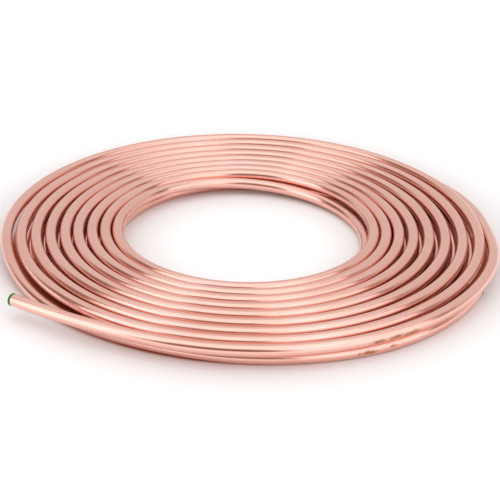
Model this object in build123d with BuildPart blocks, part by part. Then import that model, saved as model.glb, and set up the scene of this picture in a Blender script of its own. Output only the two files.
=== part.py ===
"""Coil of soft copper tube, wound from one length in two flat layers, with a plug in each end.

Frame: millimetres, +Z up, origin on the coil's axis at the level that the coil lies on.
Angles are degrees about +Z from +X, counter-clockwise from above, and they count on from turn to
turn. Radii run from the coil's axis to the tube's centreline.
"""

import os
from math import degrees, sqrt
from typing import NamedTuple

from build123d import *

os.makedirs("parts", exist_ok=True)

# Tube
tube_diameter = 9.525
tube_wall = 0.813
open_end_depth = 60.0

# Coil: radius of its outermost turn, and clear height between its two layers
coil_radius = 199.7
layer_gap = 0.4

# Gaps between neighbouring turns of the upper layer, from the outermost pair to the innermost,
# where the turns cross the coil's right (+X) and left (-X) side
upper_right_gaps = (2.4, 4.1, 4.4, 3.7, 3.3, 2.2, 1.0, 0.7)
upper_left_gaps = (2.6, 2.5, 2.3, 2.2, 1.1, 1.7, 1.2, 0.7)

# The same for the lower layer, and how far its outermost turn stands in from the coil's radius
lower_right_inset = 18.1
lower_right_gaps = (4.2, 4.2, 3.7, 3.6, 5.8, 7.2)
lower_left_inset = 19.4
lower_left_gaps = (1.8, 1.8, 1.8, 1.8, 1.8, 1.8)

# Upper free end, outside the coil, and the place where it has come in to the outermost turn
upper_end_angle = 216.7
upper_end_offset = 20.3
upper_end_spread = -0.35
outer_turn_angle = 250.0

# Fall from the outermost turn to the lower layer, past the outside of the turns above
fall_start_angle = 340.0
fall_start_offset = 1.2
fall_start_spread = -0.011
fall_middle_angle = 10.0
fall_middle_inset = 2.2
fall_middle_share = 0.56
fall_middle_spread = 0.057
fall_middle_climb = -0.047
fall_end_angle = 55.0
fall_end_offset = 2.0

# Rise inside the coil, from the lower layer back to the upper one
rise_angle = 110.0
rise_inset = 5.5
rise_share = 0.67
rise_spread = 0.09
rise_climb = 0.041

# Drop under the upper free end, to the turn below
drop_angle = 43.0
drop_inset = 5.0
drop_spread = -0.05
settle_angle = 70.0
settle_gap = 0.9

# Last stretch, which springs out to the lower free end
spring_angle = 95.0
spring_inset = 6.0
spring_spread = 0.045
swell_angle = 130.0
swell_inset = 0.5
lower_end_angle = 154.0
lower_end_inset = 2.3
lower_end_spread = -0.04
lower_end_lift = 0.25
lower_end_climb = 0.003

# End plugs
plug_flange_overlap = 0.22
plug_flange_thickness = 2.0
plug_edge_radius = 0.6
plug_shank_length = 7.0
plug_shank_clearance = 0.15
plug_shank_taper = 0.3

# Sizes that follow from the ones above
full_turn = 360.0
half_turn = full_turn / 2
tube_radius = tube_diameter / 2
bore_radius = tube_radius - tube_wall
layer_rise = tube_diameter + layer_gap
lower_height = tube_radius
upper_height = lower_height + layer_rise


class Station(NamedTuple):
    """Point that the tube's centreline passes, with its slopes there.

    The spread is the slope away from the coil's axis and the climb is the slope upwards.
    """

    angle: float
    radius: float
    height: float
    spread: float = 0.0
    climb: float = 0.0

    def point(self):
        """Place of the station."""
        return Vector(self.radius, 0, self.height).rotate(Axis.Z, self.angle)

    def heading(self):
        """Direction of the tube at the station."""
        return Vector(self.spread, 1, self.climb).normalized().rotate(Axis.Z, self.angle)


def crossing_radii(outermost, gaps):
    """Radii at which the turns of a layer cross one side of the coil, outermost first."""
    radii = [outermost]
    for gap in gaps:
        radii.append(radii[-1] - tube_diameter - gap)
    return radii


def meeting_point(start, leaving, end, arriving):
    """Point where two arcs meet smoothly, one leaving start and the other arriving at end.

    The arcs' tangents are equally long, which makes the point the middle between their corners.
    """
    across = end - start
    turned = 2 * (1 - leaving.dot(arriving))
    forwards = across.dot(leaving + arriving)
    tangent_length = (sqrt(forwards**2 + turned * across.dot(across)) - forwards) / turned
    return (start + end + (leaving - arriving) * tangent_length) / 2


def bend_axis(bend):
    """Axis that a bend of the tube turns about, so that a positive turn runs along it."""
    return Axis(bend.arc_center, (bend @ 0 - bend.arc_center).cross(bend % 0))


# Radii of the crossings
upper_right_radii = crossing_radii(coil_radius, upper_right_gaps)
upper_left_radii = crossing_radii(coil_radius, upper_left_gaps)
lower_right_radii = crossing_radii(coil_radius - lower_right_inset, lower_right_gaps)
lower_left_radii = crossing_radii(coil_radius - lower_left_inset, lower_left_gaps)

# Stations in the order of the tube's length: in at the top, round the outside, down and inwards
# below, up inside the coil and outwards above
stations = [
    Station(upper_end_angle, coil_radius + upper_end_offset, upper_height, upper_end_spread),
    Station(outer_turn_angle, coil_radius, upper_height),
    Station(
        fall_start_angle, coil_radius + fall_start_offset, upper_height, fall_start_spread
    ),
    Station(
        full_turn + fall_middle_angle,
        coil_radius - fall_middle_inset,
        lower_height + fall_middle_share * layer_rise,
        fall_middle_spread,
        fall_middle_climb,
    ),
    Station(full_turn + fall_end_angle, coil_radius + fall_end_offset, lower_height),
]
angle = full_turn + half_turn
for left_radius, right_radius in zip(lower_left_radii, lower_right_radii):
    stations.append(Station(angle, left_radius, lower_height))
    stations.append(Station(angle + half_turn, right_radius, lower_height))
    angle += full_turn
stations.append(
    Station(
        angle - half_turn + rise_angle,
        upper_left_radii[-1] - rise_inset,
        lower_height + rise_share * layer_rise,
        rise_spread,
        rise_climb,
    )
)
for left_radius, right_radius in zip(reversed(upper_left_radii), reversed(upper_right_radii[1:])):
    stations.append(Station(angle, left_radius, upper_height))
    stations.append(Station(angle + half_turn, right_radius, upper_height))
    angle += full_turn
stations += [
    Station(angle, coil_radius, upper_height),
    Station(angle + drop_angle, coil_radius - drop_inset, lower_height, drop_spread),
    Station(
        angle + settle_angle, lower_left_radii[0] + tube_diameter + settle_gap, lower_height
    ),
    Station(angle + spring_angle, coil_radius - spring_inset, lower_height, spring_spread),
    Station(angle + swell_angle, coil_radius - swell_inset, lower_height),
    Station(
        angle + lower_end_angle,
        coil_radius - lower_end_inset,
        lower_height + lower_end_lift,
        lower_end_spread,
        lower_end_climb,
    ),
]

# Bends between the stations: one arc for a level or tilted half turn, and two arcs otherwise
bends = []
for here, there in zip(stations, stations[1:]):
    middle = meeting_point(here.point(), here.heading(), there.point(), there.heading())
    with BuildLine():
        if there.angle - here.angle == half_turn:
            bends.append(ThreePointArc(here.point(), middle, there.point()))
        else:
            first_bend = TangentArc(here.point(), middle, tangent=here.heading())
            bends.append(first_bend)
            bends.append(TangentArc(middle, there.point(), tangent=first_bend % 1))

# Copper tube, each bend turned from the end of the one before it
with BuildPart() as copper_tube:
    seam = Vector(0, 0, 1)
    for bend in bends:
        turn_angle = degrees(bend.length / bend.radius)
        with BuildSketch(Plane(bend @ 0, x_dir=seam, z_dir=bend % 0)):
            Circle(tube_radius)
        revolve(axis=bend_axis(bend), revolution_arc=turn_angle)
        seam = seam.rotate(Axis((0, 0, 0), bend_axis(bend).direction), turn_angle)

    # Open bore behind each cut end
    for bend, end, backwards in ((bends[0], 0, False), (bends[-1], 1, True)):
        axis = bend_axis(bend)
        with BuildSketch(Plane(bend @ end, x_dir=axis.direction, z_dir=bend % end)):
            Circle(bore_radius)
        revolve(
            axis=axis.reverse() if backwards else axis,
            revolution_arc=degrees(open_end_depth / bend.radius),
            mode=Mode.SUBTRACT,
        )


def end_plug(cut_end):
    """Push-in plug for a cut end of the tube: a flange outside it and a shank in its bore.

    The cut end is a plane that faces out of the tube.
    """
    shank_radius = bore_radius - plug_shank_clearance
    with BuildPart(cut_end) as plug:
        Cylinder(
            tube_radius + plug_flange_overlap,
            plug_flange_thickness,
            align=(Align.CENTER, Align.CENTER, Align.MIN),
        )
        fillet(plug.edges().filter_by(GeomType.CIRCLE), plug_edge_radius)
        with Locations((0, 0, -plug_shank_length)):
            Cone(
                shank_radius - plug_shank_taper,
                shank_radius,
                plug_shank_length,
                align=(Align.CENTER, Align.CENTER, Align.MIN),
            )
    return plug.part


upper_end_plug = end_plug(Plane(bends[0] @ 0, z_dir=-(bends[0] % 0)))
lower_end_plug = end_plug(Plane(bends[-1] @ 1, z_dir=bends[-1] % 1))

copper_tube.part.label = "copper_tube"
export_step(copper_tube.part, "parts/copper_tube.step")
upper_end_plug.label = "upper_end_plug"
export_step(upper_end_plug, "parts/upper_end_plug.step")
lower_end_plug.label = "lower_end_plug"
export_step(lower_end_plug, "parts/lower_end_plug.step")
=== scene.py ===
"""Looks of a flat coil of soft copper tube with a green plug in each cut end.

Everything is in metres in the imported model's frame: +Z up along the coil's axis, the floor at zero.
"""

import logging
import math
from dataclasses import dataclass, field
from enum import Enum
from typing import Any, Iterable, Sequence

import bpy
import numpy as np
from mathutils import Matrix, Vector


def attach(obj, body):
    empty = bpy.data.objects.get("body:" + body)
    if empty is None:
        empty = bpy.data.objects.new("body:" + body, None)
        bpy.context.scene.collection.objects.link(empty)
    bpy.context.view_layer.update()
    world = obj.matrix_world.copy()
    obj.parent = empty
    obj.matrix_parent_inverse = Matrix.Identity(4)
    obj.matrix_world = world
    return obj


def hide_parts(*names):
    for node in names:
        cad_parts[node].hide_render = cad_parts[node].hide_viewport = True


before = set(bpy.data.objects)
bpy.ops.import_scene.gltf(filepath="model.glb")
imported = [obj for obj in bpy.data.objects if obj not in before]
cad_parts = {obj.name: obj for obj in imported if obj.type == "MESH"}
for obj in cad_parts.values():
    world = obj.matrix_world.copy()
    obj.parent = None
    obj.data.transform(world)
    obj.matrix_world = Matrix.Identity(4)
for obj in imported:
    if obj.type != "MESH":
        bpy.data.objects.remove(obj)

LOG = logging.getLogger("copper_coil")
MM = 0.001
FULL_TURN = 360.0
HALF_TURN = 180.0
UP = np.array([0.0, 0.0, 1.0])
MAP_NAME = "along_tube"
TUBE_DIAMETER = 9.525
TUBE_WALL = 0.813
SHARP_ANGLE = 35.0

# Part of a noise's range that a change of colour follows
NOISE_RANGE = (0.35, 0.7)


def linear(hex_colour: str) -> tuple[float, float, float, float]:
    """Turns an sRGB colour into the linear values that a shader takes.

    The sRGB curve is straight up to 0.04045 and a power of 2.4 above it.

    Args:
        hex_colour: six hex digits, with or without a leading hash.

    Returns:
        Linear red, green and blue, and an alpha of one.
    """
    digits = hex_colour.lstrip("#")
    shares = [int(digits[place : place + 2], 16) / 255 for place in (0, 2, 4)]
    red, green, blue = (
        share / 12.92 if share <= 0.04045 else ((share + 0.055) / 1.055) ** 2.4
        for share in shares
    )
    return red, green, blue, 1.0


def unit(vectors: np.ndarray) -> np.ndarray:
    """Scales vectors to length one along their last axis."""
    return vectors / np.linalg.norm(vectors, axis=-1, keepdims=True)


# Route of the tube


@dataclass(frozen=True)
class Station:
    """Point that the tube's centreline passes, with its slopes there.

    The angle is in degrees about the coil's axis and counts on from turn to turn. Radius and
    height are in millimetres. The spread is the slope away from the axis, the climb the slope up.
    """

    angle: float
    radius: float
    height: float
    spread: float = 0.0
    climb: float = 0.0

    def place(self) -> np.ndarray:
        """Place of the station.

        Returns:
            The point in metres.
        """
        turn = math.radians(self.angle)
        flat = (self.radius * math.cos(turn), self.radius * math.sin(turn), self.height)
        return np.array(flat) * MM

    def heading(self) -> np.ndarray:
        """Direction of the tube at the station: along + spread * away + climb * up.

        Returns:
            The direction, of length one.
        """
        turn = math.radians(self.angle)
        away = np.array([math.cos(turn), math.sin(turn), 0.0])
        along = np.array([-math.sin(turn), math.cos(turn), 0.0])
        return unit(along + self.spread * away + self.climb * UP)


def meeting_point(
    start: np.ndarray, leaving: np.ndarray, end: np.ndarray, arriving: np.ndarray
) -> np.ndarray:
    """Point where an arc from start and an arc to end meet smoothly.

    Both arcs have tangents of one length. The point is the middle between their corners.

    Args:
        start: first point.
        leaving: direction at the first point.
        end: last point.
        arriving: direction at the last point.

    Returns:
        The meeting point.
    """
    across = end - start
    turned = 2 * (1 - leaving @ arriving)
    forwards = across @ (leaving + arriving)
    tangent = (math.sqrt(forwards**2 + turned * (across @ across)) - forwards) / turned
    return (start + end + (leaving - arriving) * tangent) / 2


def bend(
    start: np.ndarray, heading: np.ndarray, end: np.ndarray, step: float
) -> tuple[np.ndarray, np.ndarray]:
    """Points and directions along one circular bend.

    A point is start + radius * (heading * sin(a) + inwards * (1 - cos(a))), where a runs from zero
    to twice the angle between the heading and the chord.

    Args:
        start: first point.
        heading: direction at the first point.
        end: last point.
        step: largest distance between neighbouring points.

    Returns:
        The points and the directions, one row each.
    """
    chord = end - start
    sideways = chord - heading * (chord @ heading)
    inwards = unit(sideways)
    radius = (chord @ chord) / (2 * (chord @ inwards))
    turn = 2 * math.atan2(float(np.linalg.norm(sideways)), float(chord @ heading))
    count = max(3, math.ceil(radius * turn / step) + 1)
    angles = np.linspace(0, turn, count)[:, None]
    points = start + radius * (heading * np.sin(angles) + inwards * (1 - np.cos(angles)))
    return points, heading * np.cos(angles) + inwards * np.sin(angles)


@dataclass(frozen=True)
class Waypoint:
    """Station of a stretch that joins the spirals, stated from the outermost turn.

    The offset is the distance out from that turn in millimetres. The share is that of the rise
    from the lower layer to the upper one.
    """

    angle: float
    offset: float
    share: float
    spread: float = 0.0
    climb: float = 0.0


@dataclass(frozen=True)
class Winding:
    """Route of the tube: one upper spiral, one lower spiral and the stretches that join them.

    Sizes are in millimetres. The gaps lie between neighbouring turns where they cross the coil's
    right and left side, from the outermost pair to the innermost. The way in leads from the upper
    cut end down to the lower spiral. The rise leads up inside the coil, and its offset is counted
    from the innermost upper turn. The way out leads from the upper spiral to the lower cut end,
    and its angles are counted from that spiral's end.
    """

    tube_diameter: float = TUBE_DIAMETER
    coil_radius: float = 199.7
    layer_gap: float = 0.4
    upper_right_gaps: tuple[float, ...] = (2.4, 4.1, 4.4, 3.7, 3.3, 2.2, 1.0, 0.7)
    upper_left_gaps: tuple[float, ...] = (2.6, 2.5, 2.3, 2.2, 1.1, 1.7, 1.2, 0.7)
    lower_right_inset: float = 18.1
    lower_right_gaps: tuple[float, ...] = (4.2, 4.2, 3.7, 3.6, 5.8, 7.2)
    lower_left_inset: float = 19.4
    lower_left_gaps: tuple[float, ...] = (1.8, 1.8, 1.8, 1.8, 1.8, 1.8)
    way_in: tuple[Waypoint, ...] = (
        Waypoint(216.7, 20.3, 1.0, -0.35),
        Waypoint(250.0, 0.0, 1.0),
        Waypoint(340.0, 1.2, 1.0, -0.011),
        Waypoint(370.0, -2.2, 0.56, 0.057, -0.047),
        Waypoint(415.0, 2.0, 0.0),
    )
    rise: Waypoint = Waypoint(110.0, -5.5, 0.67, 0.09, 0.041)
    way_out: tuple[Waypoint, ...] = (
        Waypoint(0.0, 0.0, 1.0),
        Waypoint(43.0, -5.0, 0.0, -0.05),
        Waypoint(70.0, -8.975, 0.0),
        Waypoint(95.0, -6.0, 0.0, 0.045),
        Waypoint(130.0, -0.5, 0.0),
        Waypoint(154.0, -2.3, 0.0251889, -0.04, 0.003),
    )
    step: float = 5.2

    def crossings(self, outermost: float, gaps: Iterable[float]) -> list[float]:
        """Radii at which the turns of a layer cross one side of the coil.

        Args:
            outermost: radius of the outermost turn.
            gaps: gaps between neighbouring turns, the outermost first.

        Returns:
            The radii, the outermost first.
        """
        radii = [outermost]
        for gap in gaps:
            radii.append(radii[-1] - self.tube_diameter - gap)
        return radii

    def height(self, share: float) -> float:
        """Height of the centreline at a share of the rise from the lower layer to the upper."""
        return self.tube_diameter / 2 + share * (self.tube_diameter + self.layer_gap)

    def stop(self, waypoint: Waypoint, angle: float = 0.0, radius: float | None = None) -> Station:
        """Station of a waypoint.

        Args:
            waypoint: angle, offset, share and slopes of the station.
            angle: angle that the waypoint's angle is counted from.
            radius: radius that its offset is counted from, or the outermost turn's.

        Returns:
            The station.
        """
        start = self.coil_radius if radius is None else radius
        return Station(
            angle + waypoint.angle,
            start + waypoint.offset,
            self.height(waypoint.share),
            waypoint.spread,
            waypoint.climb,
        )

    def stations(self) -> list[Station]:
        """Stations in the order of the tube's length.

        In at the top, round the outside, down and inwards below, up inside the coil, outwards
        above, and down to the lower cut end.

        Returns:
            The stations, from the upper cut end to the lower one.
        """
        outer = self.coil_radius
        low, high = self.height(0.0), self.height(1.0)
        upper_right = self.crossings(outer, self.upper_right_gaps)
        upper_left = self.crossings(outer, self.upper_left_gaps)
        lower_right = self.crossings(outer - self.lower_right_inset, self.lower_right_gaps)
        lower_left = self.crossings(outer - self.lower_left_inset, self.lower_left_gaps)
        stops = [self.stop(waypoint) for waypoint in self.way_in]
        angle = FULL_TURN + HALF_TURN
        for left, right in zip(lower_left, lower_right):
            stops += [Station(angle, left, low), Station(angle + HALF_TURN, right, low)]
            angle += FULL_TURN
        stops.append(self.stop(self.rise, angle - HALF_TURN, upper_left[-1]))
        for left, right in zip(reversed(upper_left), reversed(upper_right[1:])):
            stops += [Station(angle, left, high), Station(angle + HALF_TURN, right, high)]
            angle += FULL_TURN
        return stops + [self.stop(waypoint, angle) for waypoint in self.way_out]

    def centreline(self) -> tuple[np.ndarray, np.ndarray]:
        """Points and directions along the whole tube, with no point twice.

        Two bends lead from each station to the next.

        Returns:
            The points in metres and the directions, one row each.
        """
        points: list[np.ndarray] = []
        headings: list[np.ndarray] = []
        stops = self.stations()
        for here, there in zip(stops, stops[1:]):
            start, leaving = here.place(), here.heading()
            middle = meeting_point(start, leaving, there.place(), there.heading())
            for target in (middle, there.place()):
                arc, directions = bend(start, leaving, target, self.step * MM)
                points.append(arc[:-1])
                headings.append(directions[:-1])
                start, leaving = target, directions[-1]
        points.append(start[None])
        headings.append(leaving[None])
        return np.concatenate(points), np.concatenate(headings)


# Surfaces


def ring_grid(
    centres: np.ndarray, headings: np.ndarray, radii: np.ndarray, sides: int
) -> np.ndarray:
    """Circles carried along a path.

    The point at ring i and angle a is centre + radius * (side * cos(a) + lift * sin(a)), where side
    is heading x up and lift is side x heading.

    Args:
        centres: centre of each ring.
        headings: direction of the path at each ring.
        radii: radius of each ring.
        sides: points round a ring.

    Returns:
        The points in an array of rings x sides x 3.
    """
    side = unit(np.cross(headings, UP))
    lift = np.cross(side, headings)
    angles = np.linspace(0, 2 * math.pi, sides, endpoint=False)[None, :, None]
    round_ring = side[:, None] * np.cos(angles) + lift[:, None] * np.sin(angles)
    return centres[:, None] + radii[:, None, None] * round_ring


def closed_mesh(name: str, grid: np.ndarray, lengths: np.ndarray, girth: float) -> bpy.types.Mesh:
    """Mesh of a ring grid, closed by one flat face at each end.

    Its map runs along the path in u and round the rings in v, both in metres.

    Args:
        name: name of the mesh.
        grid: points in an array of rings x sides x 3.
        lengths: distance along the path at each ring.
        girth: distance once round the tube.

    Returns:
        The mesh, with smooth faces and sharp corners.
    """
    rings, sides = grid.shape[:2]
    row, column = np.meshgrid(np.arange(rings - 1), np.arange(sides), indexing="ij")
    beside = (column + 1) % sides
    here, there = row * sides, (row + 1) * sides
    corners = [here + column, here + beside, there + beside, there + column]
    quads = np.stack(corners, axis=-1).reshape(-1, 4)
    first_cap = np.arange(sides)[::-1]
    last_cap = (rings - 1) * sides + np.arange(sides)
    mesh = bpy.data.meshes.new(name)
    faces = quads.tolist() + [first_cap.tolist(), last_cap.tolist()]
    mesh.from_pydata(grid.reshape(-1, 3).tolist(), [], faces)
    along = np.stack([lengths[row], lengths[row], lengths[row + 1], lengths[row + 1]], axis=-1)
    about = np.stack([column, column + 1, column + 1, column], axis=-1) * (girth / sides)
    caps = np.zeros((2 * sides, 2))
    flat_map = np.concatenate([np.stack([along, about], axis=-1).reshape(-1, 2), caps])
    layer = mesh.uv_layers.new(name=MAP_NAME)
    layer.data.foreach_set("uv", flat_map.ravel().astype(np.float32))
    mesh.polygons.foreach_set("use_smooth", np.ones(len(faces), dtype=bool))
    mesh.set_sharp_from_angle(angle=math.radians(SHARP_ANGLE))
    mesh.update()
    return mesh


def placed(name: str, mesh: bpy.types.Mesh, material: bpy.types.Material) -> bpy.types.Object:
    """Puts a mesh into the scene at the origin, in one material.

    Args:
        name: name of the object.
        mesh: mesh of the object.
        material: its material.

    Returns:
        The object.
    """
    piece = bpy.data.objects.new(name, mesh)
    bpy.context.scene.collection.objects.link(piece)
    mesh.materials.append(material)
    return piece


# Finishes


def add_node(
    tree: bpy.types.NodeTree,
    kind: str,
    settings: dict[str, Any] | None = None,
    inputs: dict[str | int, Any] | None = None,
) -> bpy.types.Node:
    """Adds a node with its settings, values and links.

    Args:
        tree: node tree that the node goes into.
        kind: Blender's name of the node type.
        settings: properties of the node.
        inputs: sockets by name or number, each with a value or with another node's output.

    Returns:
        The new node.
    """
    node = tree.nodes.new(kind)
    for name, value in (settings or {}).items():
        setattr(node, name, value)
    for name, value in (inputs or {}).items():
        if isinstance(value, bpy.types.NodeSocket):
            tree.links.new(value, node.inputs[name])
        else:
            node.inputs[name].default_value = value
    return node


def computed(
    tree: bpy.types.NodeTree, operation: str, *values: Any, vector: bool = False
) -> bpy.types.NodeSocket:
    """Result of a Math node, or of a Vector Math node, on values or outputs.

    Args:
        tree: node tree that the node goes into.
        operation: Blender's name of the operation.
        values: numbers, vectors or outputs, in the order of the node's sockets.
        vector: whether the values are vectors.

    Returns:
        The output that carries the result.
    """
    kind = "ShaderNodeVectorMath" if vector else "ShaderNodeMath"
    node = add_node(tree, kind, {"operation": operation}, dict(enumerate(values)))
    return next(output for output in node.outputs if output.enabled)


def between(
    tree: bpy.types.NodeTree,
    value: bpy.types.NodeSocket,
    source: tuple[float, float],
    target: tuple[float, float],
    eased: bool = False,
) -> bpy.types.NodeSocket:
    """Maps a value from one range to another and holds it there.

    Args:
        tree: node tree that the node goes into.
        value: output that carries the value.
        source: start and end of the range that the value comes from.
        target: start and end of the range that it goes to.
        eased: whether the change starts and ends softly.

    Returns:
        The output that carries the mapped value.
    """
    kind = {"interpolation_type": "SMOOTHSTEP" if eased else "LINEAR"}
    limits = dict(zip(("From Min", "From Max", "To Min", "To Max"), source + target))
    node = add_node(tree, "ShaderNodeMapRange", kind, {"Value": value, **limits})
    return node.outputs["Result"]


def noise(
    tree: bpy.types.NodeTree,
    place: bpy.types.NodeSocket,
    size_mm: float,
    detail: float = 2.0,
    rough: float = 0.5,
) -> bpy.types.NodeSocket:
    """Noise whose patches are about size_mm wide.

    Args:
        tree: node tree that the node goes into.
        place: output with coordinates in metres.
        size_mm: size of the patches in millimetres.
        detail: number of finer layers.
        rough: strength of the finer layers.

    Returns:
        The output that carries the noise, mostly from 0.3 to 0.7.
    """
    inputs = {"Vector": place, "Scale": 1 / (size_mm * MM), "Detail": detail, "Roughness": rough}
    return add_node(tree, "ShaderNodeTexNoise", inputs=inputs).outputs["Fac"]


def mixed(
    tree: bpy.types.NodeTree, share: Any, first: Any, second: Any
) -> bpy.types.NodeSocket:
    """Mixes two colours.

    Args:
        tree: node tree that the node goes into.
        share: the second colour's share, from zero to one.
        first: first colour, or the output that carries it.
        second: second colour, or the output that carries it.

    Returns:
        The output that carries the mixed colour.
    """
    # The names of a Mix node's sockets repeat, so its colours go by number
    mix = add_node(tree, "ShaderNodeMix", {"data_type": "RGBA"}, {0: share, 6: first, 7: second})
    return mix.outputs[2]


def bumped(
    tree: bpy.types.NodeTree,
    height: bpy.types.NodeSocket,
    strength: float,
    depth_mm: float,
    under: bpy.types.NodeSocket | None = None,
) -> bpy.types.NodeSocket:
    """Normal of a surface with a relief on it.

    Args:
        tree: node tree that the node goes into.
        height: output that carries the relief's height.
        strength: how strongly the relief shows.
        depth_mm: height of the relief in millimetres where its output is one.
        under: normal of another relief that this one lies on.

    Returns:
        The output that carries the normal.
    """
    inputs = {"Strength": strength, "Distance": depth_mm * MM, "Height": height}
    if under is not None:
        inputs["Normal"] = under
    return add_node(tree, "ShaderNodeBump", inputs=inputs).outputs["Normal"]


def new_material(name: str) -> tuple[bpy.types.Material, bpy.types.NodeTree]:
    """Makes a material with an empty node tree.

    Args:
        name: name of the material.

    Returns:
        The material and its tree.
    """
    material = bpy.data.materials.new(name)
    material.use_nodes = True
    material.node_tree.nodes.clear()
    return material, material.node_tree


@dataclass(frozen=True)
class Stain:
    """Brown stain on the tube: its place along it in millimetres and round it in degrees.

    Zero degrees faces away from the coil's axis and ninety faces up.
    """

    along: float
    angle: float
    reach: float

    def centre(self, radius: float, stretch: float) -> tuple[float, float, float]:
        """Centre in the tube's own space.

        Args:
            radius: outside radius of the tube in metres.
            stretch: how many times longer than wide a stain is.

        Returns:
            Shortened length along the tube, and the two coordinates across it, in metres.
        """
        turn = math.radians(self.angle)
        return self.along * MM / stretch, radius * math.cos(turn), radius * math.sin(turn)


@dataclass(frozen=True)
class SoftDrawnCopper:
    """Phosphorus-deoxidised copper tube, drawn through a die and bright-annealed in a coil.

    The die leaves faint lines along the tube, and annealing leaves a satin skin with slow changes
    of warmth. Handling adds fine mottling, small specks and a few brown stains. The gloss is the
    range of roughness. Each relief is a strength and a depth in millimetres. A speck's core is in
    shares of its cell, and a stain's edge in shares of its reach.
    """

    metal: str = "#F9C6B9"
    warm_metal: str = "#F3BAA9"
    speck: str = "#A87460"
    stain: str = "#A0673F"
    gloss: tuple[float, float] = (0.16, 0.25)
    radius: float = TUBE_DIAMETER / 2 * MM
    die_line_mm: float = 1.4
    die_line_stretch: float = 50.0
    die_line_range: tuple[float, float] = (0.3, 0.7)
    die_line_relief: tuple[float, float] = (0.06, 0.05)
    patch_mm: float = 45.0
    patch_warmth: float = 0.6
    patch_relief: tuple[float, float] = (0.12, 0.5)
    mottle_mm: float = 1.6
    mottle_warmth: float = 0.4
    speck_mm: float = 3.3
    speck_core: tuple[float, float] = (0.1, 0.17)
    speckless_share: float = 0.8
    speck_strength: float = 0.7
    ragged_mm: float = 2.4
    ragged_reach: float = 2.0
    stain_edge: tuple[float, float] = (1.35, 2.05)
    stain_strength: float = 0.8
    stain_dulling: float = 0.2
    stain_stretch: float = 4.0
    stains: tuple[Stain, ...] = (
        Stain(302.0, -7.0, 2.2),
        Stain(315.0, -17.0, 2.7),
        Stain(288.0, -9.0, 2.1),
        Stain(15120.0, 3.0, 2.3),
        Stain(15140.5, 14.0, 1.1),
    )

    def tube_space(self, tree: bpy.types.NodeTree) -> bpy.types.NodeSocket:
        """Coordinates that run along the tube and join up round it.

        The map's two coordinates u and v become (u, r * cos(v / r), r * sin(v / r)) in metres.

        Args:
            tree: the material's node tree.

        Returns:
            The output that carries the coordinates.
        """
        flat_map = add_node(tree, "ShaderNodeUVMap", {"uv_map": MAP_NAME}).outputs["UV"]
        parts = add_node(tree, "ShaderNodeSeparateXYZ", inputs={"Vector": flat_map}).outputs
        angle = computed(tree, "DIVIDE", parts["Y"], self.radius)
        across = computed(tree, "MULTIPLY", computed(tree, "COSINE", angle), self.radius)
        upwards = computed(tree, "MULTIPLY", computed(tree, "SINE", angle), self.radius)
        joined = {"X": parts["X"], "Y": across, "Z": upwards}
        return add_node(tree, "ShaderNodeCombineXYZ", inputs=joined).outputs["Vector"]

    def shortened(
        self, tree: bpy.types.NodeTree, along: bpy.types.NodeSocket, stretch: float
    ) -> bpy.types.NodeSocket:
        """Tube coordinates in which a pattern comes out stretched along the tube.

        Args:
            tree: the material's node tree.
            along: the tube's own coordinates.
            stretch: how many times longer than wide the pattern comes out.

        Returns:
            The output that carries the coordinates.
        """
        inputs = {"Vector": along, "Scale": (1 / stretch, 1.0, 1.0)}
        return add_node(tree, "ShaderNodeMapping", inputs=inputs).outputs["Vector"]

    def specks(
        self, tree: bpy.types.NodeTree, place: bpy.types.NodeSocket
    ) -> bpy.types.NodeSocket:
        """How dark a speck is at each place: the cores of a few cells of a random pattern.

        Args:
            tree: the material's node tree.
            place: Object coordinates.

        Returns:
            The output that carries the share of speck colour.
        """
        inputs = {"Vector": place, "Scale": 1 / (self.speck_mm * MM)}
        cells = add_node(tree, "ShaderNodeTexVoronoi", inputs=inputs).outputs
        core = between(tree, cells["Distance"], self.speck_core, (1.0, 0.0))
        dice = add_node(tree, "ShaderNodeSeparateColor", inputs={"Color": cells["Color"]})
        few = (self.speckless_share, 1.0)
        strength = between(tree, dice.outputs["Red"], few, (0.0, self.speck_strength))
        return computed(tree, "MULTIPLY", core, strength)

    def stained(
        self, tree: bpy.types.NodeTree, along: bpy.types.NodeSocket, place: bpy.types.NodeSocket
    ) -> bpy.types.NodeSocket:
        """How much of a stain lies at each place, with ragged edges.

        Args:
            tree: the material's node tree.
            along: the tube's own coordinates.
            place: Object coordinates.

        Returns:
            The output that carries the share of stain.
        """
        short = self.shortened(tree, along, self.stain_stretch)
        ragged = noise(tree, place, self.ragged_mm, detail=4.0, rough=0.7)
        total: Any = 0.0
        for stain in self.stains:
            reach = stain.reach * MM
            centre = stain.centre(self.radius, self.stain_stretch)
            away = computed(tree, "DISTANCE", short, centre, vector=True)
            edge = computed(tree, "MULTIPLY_ADD", ragged, self.ragged_reach * reach, away)
            limits = (self.stain_edge[0] * reach, self.stain_edge[1] * reach)
            share = between(tree, edge, limits, (self.stain_strength, 0.0))
            total = computed(tree, "MAXIMUM", share, total)
        return total

    def build(self) -> bpy.types.Material:
        """Makes the tube's material.

        Returns:
            The material.
        """
        material, tree = new_material("soft_drawn_copper")
        along = self.tube_space(tree)
        place = add_node(tree, "ShaderNodeTexCoord").outputs["Object"]
        # Die lines, drawn out along the tube and coarser than the real ones, which are too fine
        drawn = self.shortened(tree, along, self.die_line_stretch)
        lines = noise(tree, drawn, self.die_line_mm, detail=3.0)
        # Slow changes of warmth from the annealing, with a fine mottling on them
        patches = noise(tree, place, self.patch_mm)
        warmth = between(tree, patches, NOISE_RANGE, (0.0, self.patch_warmth))
        mottling = noise(tree, place, self.mottle_mm, detail=3.0)
        mottling = between(tree, mottling, NOISE_RANGE, (0.0, self.mottle_warmth))
        warmth = computed(tree, "ADD", warmth, mottling)
        colour = mixed(tree, warmth, linear(self.metal), linear(self.warm_metal))
        colour = mixed(tree, self.specks(tree, place), colour, linear(self.speck))
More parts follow.
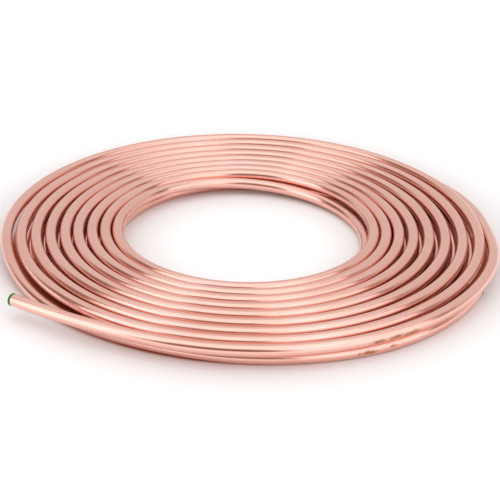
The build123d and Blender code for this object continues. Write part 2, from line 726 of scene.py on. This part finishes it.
        # The stains are duller than the skin
        stained = self.stained(tree, along, place)
        colour = mixed(tree, stained, colour, linear(self.stain))
        gloss = between(tree, lines, self.die_line_range, self.gloss)
        gloss = computed(tree, "MULTIPLY_ADD", stained, self.stain_dulling, gloss)
        relief = bumped(tree, lines, *self.die_line_relief)
        relief = bumped(tree, patches, *self.patch_relief, relief)
        inputs = {"Base Color": colour, "Metallic": 1.0, "Roughness": gloss, "Normal": relief}
        shader = add_node(tree, "ShaderNodeBsdfPrincipled", inputs=inputs)
        add_node(tree, "ShaderNodeOutputMaterial", inputs={"Surface": shader.outputs["BSDF"]})
        return material


@dataclass(frozen=True)
class MouldedPolyethylene:
    """Low-density polyethylene, dyed through and injection-moulded: satin, a little waxy."""

    plastic: str = "#04731C"
    pale_plastic: str = "#078027"
    roughness: float = 0.42
    ior: float = 1.51
    specular_level: float = 0.3
    scatter: float = 0.05
    scatter_mm: float = 1.5
    cloud_mm: float = 6.0
    grain_mm: float = 0.6
    grain_relief: tuple[float, float] = (0.1, 0.05)

    def build(self) -> bpy.types.Material:
        """Makes the plugs' material.

        Returns:
            The material.
        """
        material, tree = new_material("moulded_green_polyethylene")
        place = add_node(tree, "ShaderNodeTexCoord").outputs["Object"]
        clouds = noise(tree, place, self.cloud_mm)
        inputs = {
            "Base Color": mixed(tree, clouds, linear(self.plastic), linear(self.pale_plastic)),
            "Roughness": self.roughness,
            "IOR": self.ior,
            "Specular IOR Level": self.specular_level,
            "Subsurface Weight": self.scatter,
            "Subsurface Scale": self.scatter_mm * MM,
            "Normal": bumped(tree, noise(tree, place, self.grain_mm), *self.grain_relief),
        }
        shader = add_node(tree, "ShaderNodeBsdfPrincipled", inputs=inputs)
        add_node(tree, "ShaderNodeOutputMaterial", inputs={"Surface": shader.outputs["BSDF"]})
        return material


@dataclass(frozen=True)
class WhitePaper:
    """Matt white paper of the floor, which shows plain white outside the coil's shadow.

    The glow that lifts it to white grows with the distance from the coil's axis. It stops under the
    winding and eases back in over a band round it: painted shade, so the floor there stays darker
    than the white further out. Under the winding the paper is painted the brown of shaded copper,
    painted shade that keeps the gaps between the turns dark. Far out the glow falls to the wall's
    brightness. Lengths are in metres.
    """

    white: str = "#F3F2F1"
    # Painted shade: the brown of shaded copper that the paper has under the winding
    painted_gap_shade: str = "#B4674B"
    near_glow: float = 0.22
    far_glow: float = 0.5
    glow_range: tuple[float, float] = (0.2, 1.2)
    sweep_range: tuple[float, float] = (1.5, 5.0)
    sweep_share: float = 0.55
    winding_centre: tuple[float, float, float] = (0.0, 0.003, 0.0)
    winding_middle: float = 0.155
    winding_half: float = 0.0445
    glow_edge: float = 0.0755
    winding_edge: float = 0.0045

    def build(self) -> bpy.types.Material:
        """Makes the floor's material.

        Returns:
            The material.
        """
        material, tree = new_material("white_paper_floor")
        paths = add_node(tree, "ShaderNodeLightPath").outputs
        seen = computed(tree, "MAXIMUM", paths["Is Camera Ray"], paths["Is Glossy Ray"])
        seen = computed(tree, "MAXIMUM", seen, paths["Is Transmission Ray"])
        place = add_node(tree, "ShaderNodeTexCoord").outputs["Object"]
        reach = computed(tree, "LENGTH", place, vector=True)
        aside = computed(tree, "DISTANCE", place, self.winding_centre, vector=True)
        aside = computed(tree, "SUBTRACT", aside, self.winding_middle)
        aside = computed(tree, "ABSOLUTE", aside)
        half = self.winding_half
        # Painted shade: no glow under the winding, easing back in over a band round it, so the floor
        # there stays darker
        clear = between(tree, aside, (half, half + self.glow_edge), (0.0, 1.0), eased=True)
        under = between(tree, aside, (half - self.winding_edge, half), (1.0, 0.0), eased=True)
        sweep = between(tree, reach, self.sweep_range, (1.0, self.sweep_share), eased=True)
        glow = between(tree, reach, self.glow_range, (self.near_glow, self.far_glow))
        for share in (clear, sweep, seen):
            glow = computed(tree, "MULTIPLY", glow, share)
        # Painted shade: the paper under the winding is painted the brown of shaded copper, so the
        # gaps between the turns stay dark
        colour = mixed(tree, under, linear(self.white), linear(self.painted_gap_shade))
        paper = add_node(tree, "ShaderNodeBsdfDiffuse", inputs={"Color": colour})
        light = add_node(tree, "ShaderNodeEmission", inputs={"Strength": glow})
        surfaces = {0: paper.outputs["BSDF"], 1: light.outputs["Emission"]}
        both = add_node(tree, "ShaderNodeAddShader", inputs=surfaces)
        add_node(tree, "ShaderNodeOutputMaterial", inputs={"Surface": both.outputs["Shader"]})
        return material


# Pieces


@dataclass
class CopperTube:
    """The whole tube, open at both cut ends, where the rim is lightly deburred.

    Sizes are in millimetres.
    """

    winding: Winding = field(default_factory=Winding)
    finish: SoftDrawnCopper = field(default_factory=SoftDrawnCopper)
    wall: float = TUBE_WALL
    deburring: float = 0.2
    bore_depth: float = 12.0
    sides: int = 28

    def surface(self) -> tuple[np.ndarray, np.ndarray]:
        """Rings of the outside, and at each end of the rim and of the bore behind it.

        At a cut end the radius steps from the bore over two small chamfers to the outside.

        Returns:
            The ring grid, and the distance along the tube at each ring.
        """
        points, headings = self.winding.centreline()
        outside = self.winding.tube_diameter / 2 * MM
        bore = outside - self.wall * MM
        cut = self.deburring * MM
        steps = np.linalg.norm(np.diff(points, axis=0), axis=1)
        lengths = np.concatenate([[0], np.cumsum(steps)])
        whole = lengths[-1]
        rim = np.array([self.bore_depth * MM, cut, 0, 0, cut])
        rim_radii = np.array([bore, bore, bore + cut, outside - cut, outside])
        inner = lengths[(lengths > 2 * cut) & (lengths < whole - 2 * cut)]
        where = np.concatenate([rim, inner, whole - rim[::-1]])
        radii = np.concatenate([rim_radii, np.full(len(inner), outside), rim_radii[::-1]])
        centres = np.stack([np.interp(where, lengths, axis) for axis in points.T], axis=1)
        directions = np.stack([np.interp(where, lengths, axis) for axis in headings.T], axis=1)
        return ring_grid(centres, unit(directions), radii, self.sides), where

    def build(self) -> bpy.types.Object:
        """Makes the tube in place of its plain node.

        Returns:
            The tube.
        """
        grid, where = self.surface()
        girth = math.pi * self.winding.tube_diameter * MM
        mesh = closed_mesh("copper_tube_coil", grid, where, girth)
        piece = placed("copper_tube_coil", mesh, self.finish.build())
        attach(piece, "root")
        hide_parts("copper_tube")
        return piece


class CutEnd(Enum):
    """Cut ends of the tube, each with the plain node of its plug."""

    UPPER = "upper_end_plug"
    LOWER = "lower_end_plug"


@dataclass
class EndPlug:
    """Push-in plug: a tapered shank in the bore and a rounded flange with a low crown.

    Sizes are in millimetres, and the hub is a share of the crown's radius.
    """

    cut_end: CutEnd
    winding: Winding
    material: bpy.types.Material
    wall: float = TUBE_WALL
    overlap: float = 0.22
    thickness: float = 2.0
    edge: float = 0.45
    shank: float = 7.0
    clearance: float = 0.15
    taper: float = 0.3
    tip_chamfer: float = 0.4
    crown: float = 0.5
    crown_hub: float = 0.12
    edge_points: int = 6
    crown_points: int = 8
    sides: int = 48

    def outline(self) -> np.ndarray:
        """Outline from the shank's tip over the flange to the middle of the crown.

        The flange's two edges are quarter circles, and the crown is a parabola that ends in a
        small flat hub.

        Returns:
            Distance along the axis and radius of each ring, in millimetres.
        """
        tube_radius = self.winding.tube_diameter / 2
        rim = tube_radius + self.overlap
        shank = tube_radius - self.wall - self.clearance
        tip = shank - self.taper
        quarter = np.linspace(0, math.pi / 2, self.edge_points)
        rising = self.edge * (1 - np.sin(quarter))
        falling = self.edge * (1 - np.cos(quarter))
        back = np.stack([falling, rim - rising], axis=1)
        front = np.stack([self.thickness - rising, rim - falling], axis=1)
        share = np.linspace(1, self.crown_hub, self.crown_points)[1:]
        crown = self.thickness + self.crown * (1 - share**2)
        top = np.stack([crown, (rim - self.edge) * share], axis=1)
        chamfer = [[-self.shank, tip - self.tip_chamfer], [self.tip_chamfer - self.shank, tip]]
        return np.concatenate([chamfer, [[0.0, shank]], back, front, top])

    def axis(self) -> tuple[np.ndarray, np.ndarray]:
        """Axis that the plug lies on.

        Returns:
            Centre of the cut in metres, and the direction out of the tube.
        """
        stops = self.winding.stations()
        if self.cut_end is CutEnd.UPPER:
            return stops[0].place(), -stops[0].heading()
        return stops[-1].place(), stops[-1].heading()

    def build(self) -> bpy.types.Object:
        """Makes the plug in place of its plain node.

        Returns:
            The plug.
        """
        outline = self.outline() * MM
        place, outwards = self.axis()
        centres = place + outline[:, :1] * outwards
        headings = np.repeat(outwards[None], len(outline), axis=0)
        grid = ring_grid(centres, headings, outline[:, 1], self.sides)
        name = f"{self.cut_end.value}_green"
        girth = math.pi * self.winding.tube_diameter * MM
        piece = placed(name, closed_mesh(name, grid, outline[:, 0], girth), self.material)
        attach(piece, "root")
        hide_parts(self.cut_end.value)
        return piece


# Studio


class BoxKind(Enum):
    """Soft boxes that stand round the coil."""

    LEFT = "soft_box_left"
    RIGHT = "soft_box_right"
    OVERHEAD = "soft_box_overhead"


@dataclass(frozen=True)
class SoftBox:
    """Rectangular soft box that faces the coil, with lengths in metres.

    Azimuth is in degrees from straight behind the coil towards its right side. The level is the
    brightness that its cloth adds, where one is white.
    """

    kind: BoxKind
    azimuth: float
    elevation: float
    distance: float
    width: float
    height: float
    level: float
    colour: str = "#F5F9FF"

    def build(self) -> bpy.types.Object:
        """Adds the box as an area lamp that cameras don't see.

        A rectangular lamp's cloth is as bright as its energy over four times its area.

        Returns:
            The object that holds the lamp.
        """
        lamp = bpy.data.lights.new(self.kind.value, "AREA")
        lamp.shape = "RECTANGLE"
        lamp.size, lamp.size_y = self.width, self.height
        lamp.energy = self.level * 4 * self.width * self.height
        lamp.color = linear(self.colour)[:3]
        turn, rise = math.radians(self.azimuth), math.radians(self.elevation)
        flat = math.cos(rise)
        towards = Vector((math.sin(turn) * flat, math.cos(turn) * flat, math.sin(rise)))
        holder = bpy.data.objects.new(self.kind.value, lamp)
        holder.location = towards * self.distance
        holder.rotation_euler = (-towards).to_track_quat("-Z", "Y").to_euler()
        holder.visible_camera = False
        bpy.context.scene.collection.objects.link(holder)
        return holder


@dataclass
class Studio:
    """White floor, pale wall behind the coil, darker room in front of it, and three soft boxes.

    An edge is the range over which one part of the room passes into the next: along the wall's
    direction for the wall, and upwards for the strip and the ceiling.
    """

    floor_size: float = 12.0
    paper: WhitePaper = field(default_factory=WhitePaper)
    wall: str = "#E3E2E2"
    wall_shift: float = 0.15
    wall_edge: tuple[float, float] = (0.15, 0.5)
    strip_edge: tuple[float, float] = (0.13, 0.2)
    room: str = "#8B6C5F"
    ceiling: str = "#FFFFFF"
    ceiling_edge: tuple[float, float] = (0.6, 0.93)
    boxes: tuple[SoftBox, ...] = (
        SoftBox(BoxKind.LEFT, -119.0, 26.0, 1.7, 1.1, 1.5, 1.2),
        SoftBox(BoxKind.RIGHT, 132.0, 27.0, 1.7, 2.1, 1.55, 0.92),
        SoftBox(BoxKind.OVERHEAD, 180.0, 70.0, 1.7, 2.0, 1.9, 0.33),
    )

    def add_floor(self) -> bpy.types.Object:
        """Adds the square floor round the coil.

        Returns:
            The floor.
        """
        half = self.floor_size / 2
        corners = [(-half, -half, 0), (half, -half, 0), (half, half, 0), (-half, half, 0)]
        mesh = bpy.data.meshes.new("floor")
        mesh.from_pydata(corners, [], [(0, 1, 2, 3)])
        floor = placed("floor", mesh, self.paper.build())
        return floor

    def light_room(self) -> None:
        """World with a pale wall behind the coil, a pale ceiling and a pale strip all round."""
        world = bpy.data.worlds.new("studio_room")
        bpy.context.scene.world = world
        world.use_nodes = True
        tree = world.node_tree
        tree.nodes.clear()
        direction = add_node(tree, "ShaderNodeTexCoord").outputs["Generated"]
        flat = computed(tree, "MULTIPLY", direction, (1.0, 1.0, 0.0), vector=True)
        flat = computed(tree, "NORMALIZE", flat, vector=True)
        away = computed(tree, "DOT_PRODUCT", flat, (self.wall_shift, 1.0, 0.0), vector=True)
        parts = add_node(tree, "ShaderNodeSeparateXYZ", inputs={"Vector": direction}).outputs
        behind = between(tree, away, self.wall_edge, (0.0, 1.0), eased=True)
        strip = between(tree, parts["Z"], self.strip_edge, (1.0, 0.0), eased=True)
        above = between(tree, parts["Z"], self.ceiling_edge, (0.0, 1.0), eased=True)
        colour = mixed(tree, behind, linear(self.room), linear(self.wall))
        colour = mixed(tree, strip, colour, linear(self.wall))
        colour = mixed(tree, above, colour, linear(self.ceiling))
        backdrop = add_node(tree, "ShaderNodeBackground", inputs={"Color": colour})
        surface = {"Surface": backdrop.outputs["Background"]}
        add_node(tree, "ShaderNodeOutputWorld", inputs=surface)

    def build(self) -> None:
        """Sets up floor, room, soft boxes and colour handling."""
        self.add_floor()
        self.light_room()
        for box in self.boxes:
            box.build()
        bpy.context.scene.view_settings.view_transform = "Standard"


@dataclass
class PhotoCamera:
    """Camera at the photograph's viewpoint, for a square picture.

    Target and distance are in metres, angles in degrees, and lens and sensor in millimetres.
    """

    target: tuple[float, float, float] = (0.00004, -0.03994, 0.01469)
    distance: float = 1.23345
    elevation: float = 26.513
    roll: float = 1.102
    lens: float = 110.54
    sensor: float = 36.0

    def build(self) -> bpy.types.Object:
        """Adds the camera and makes it the scene's.

        Returns:
            The camera.
        """
        rise, roll = math.radians(self.elevation), math.radians(self.roll)
        back = Vector((0, -math.cos(rise), math.sin(rise)))
        right = Vector((1, 0, 0))
        lift = back.cross(right)
        turned_right = right * math.cos(roll) + lift * math.sin(roll)
        turned_lift = lift * math.cos(roll) - right * math.sin(roll)
        data = bpy.data.cameras.new("photo_camera")
        data.lens = self.lens
        data.sensor_width = self.sensor
        camera = bpy.data.objects.new("photo_camera", data)
        turn = Matrix((turned_right, turned_lift, back)).transposed().to_4x4()
        camera.matrix_world = Matrix.Translation(Vector(self.target) + back * self.distance) @ turn
        bpy.context.scene.collection.objects.link(camera)
        bpy.context.scene.camera = camera
        return camera


def report(piece: bpy.types.Object) -> None:
    """Logs a piece with the number of its faces."""
    LOG.info("%s: %d faces", piece.name, len(piece.data.polygons))


def main() -> None:
    """Builds the coil, its plugs, the studio and the camera."""
    logging.basicConfig(level=logging.INFO)
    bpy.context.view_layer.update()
    tube = CopperTube()
    report(tube.build())
    plastic = MouldedPolyethylene().build()
    for cut_end in CutEnd:
        report(EndPlug(cut_end, tube.winding, plastic).build())
    Studio().build()
    PhotoCamera().build()


if __name__ == "__main__":
    main()
